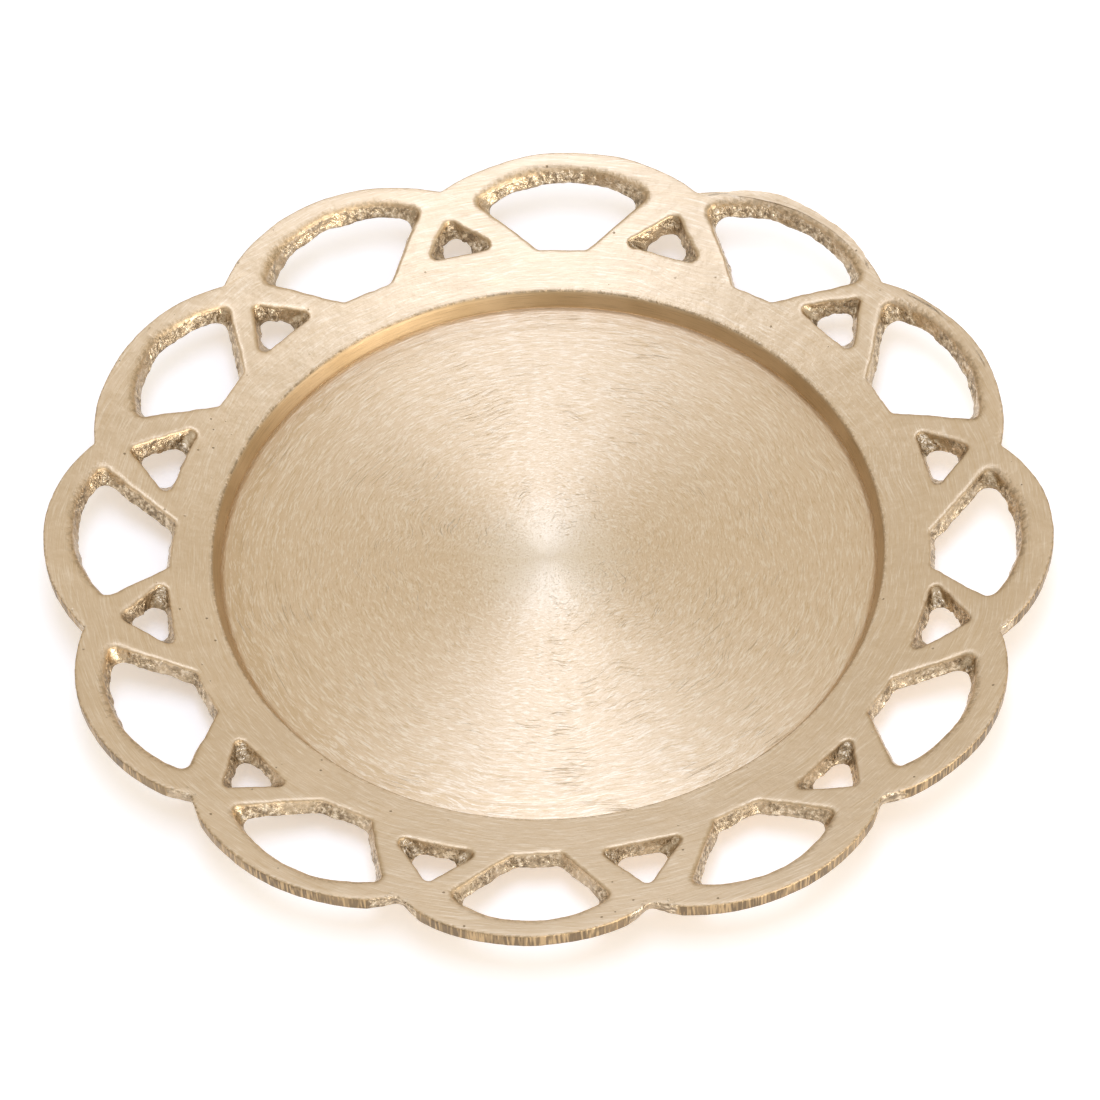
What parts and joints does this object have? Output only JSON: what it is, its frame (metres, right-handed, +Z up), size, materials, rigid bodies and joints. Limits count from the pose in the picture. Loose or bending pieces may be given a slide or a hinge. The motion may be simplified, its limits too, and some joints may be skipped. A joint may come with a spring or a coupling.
{
  "type": "openwork tray",
  "caption": "Round cast brass tray with a shallow turned well and an openwork rim of scalloped arches, for a candle, cup or small things.",
  "frame": {"origin": "centre of the flat underside that the tray stands on", "axes": "+Z up, along the axis of the turned well; +Y through the crown of scallop 01, and the scallops are numbered clockwise from above"},
  "size_m": [0.14, 0.14, 0.0087],
  "materials": {
    "brass": "brushed and turned faces, as-cast hole walls, unlacquered"
  },
  "bodies": {
    "root": {"well_floor": "brass", "base_wall": "brass", "well_ring": "brass", "arch_01": "brass", "strut_left_01": "brass", "strut_right_01": "brass", "arch_02": "brass", "strut_left_02": "brass", "strut_right_02": "brass", "arch_03": "brass", "strut_left_03": "brass", "strut_right_03": "brass", "arch_04": "brass", "strut_left_04": "brass", "strut_right_04": "brass", "arch_05": "brass", "strut_left_05": "brass", "strut_right_05": "brass", "arch_06": "brass", "strut_left_06": "brass", "strut_right_06": "brass", "arch_07": "brass", "strut_left_07": "brass", "strut_right_07": "brass", "arch_08": "brass", "strut_left_08": "brass", "strut_right_08": "brass", "arch_09": "brass", "strut_left_09": "brass", "strut_right_09": "brass", "arch_10": "brass", "strut_left_10": "brass", "strut_right_10": "brass", "arch_11": "brass", "strut_left_11": "brass", "strut_right_11": "brass", "arch_12": "brass", "strut_left_12": "brass", "strut_right_12": "brass"}
  },
  "joints": []
}
